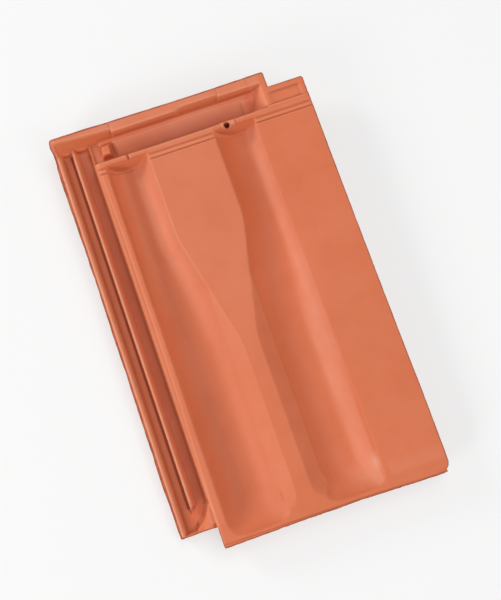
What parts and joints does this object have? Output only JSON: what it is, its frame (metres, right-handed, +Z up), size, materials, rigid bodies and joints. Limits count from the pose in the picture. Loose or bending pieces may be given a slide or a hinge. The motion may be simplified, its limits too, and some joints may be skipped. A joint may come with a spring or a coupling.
{
  "type": "clay roof tile",
  "caption": "Double-trough interlocking clay roof tile with a side lock, a head lock, a nail hole, a cover flange and hanging nibs.",
  "frame": {"origin": "on the floor that the tile lies on, under the middle of its bounding box", "axes": "+X across the tile, from the side lock to the cover flange; +Y along the tile, from the foot (eaves end) to the head (ridge end); +Z up, out of the weather face. The tile lies at rest on its nibs and on its trough bellies, so its weather face leans 1.81 degrees towards the foot."},
  "size_m": [0.2612, 0.43, 0.0397],
  "materials": {
    "clay": "matte, unglazed, natural red"
  },
  "bodies": {
    "root": {"roof_tile": "clay"}
  },
  "joints": []
}
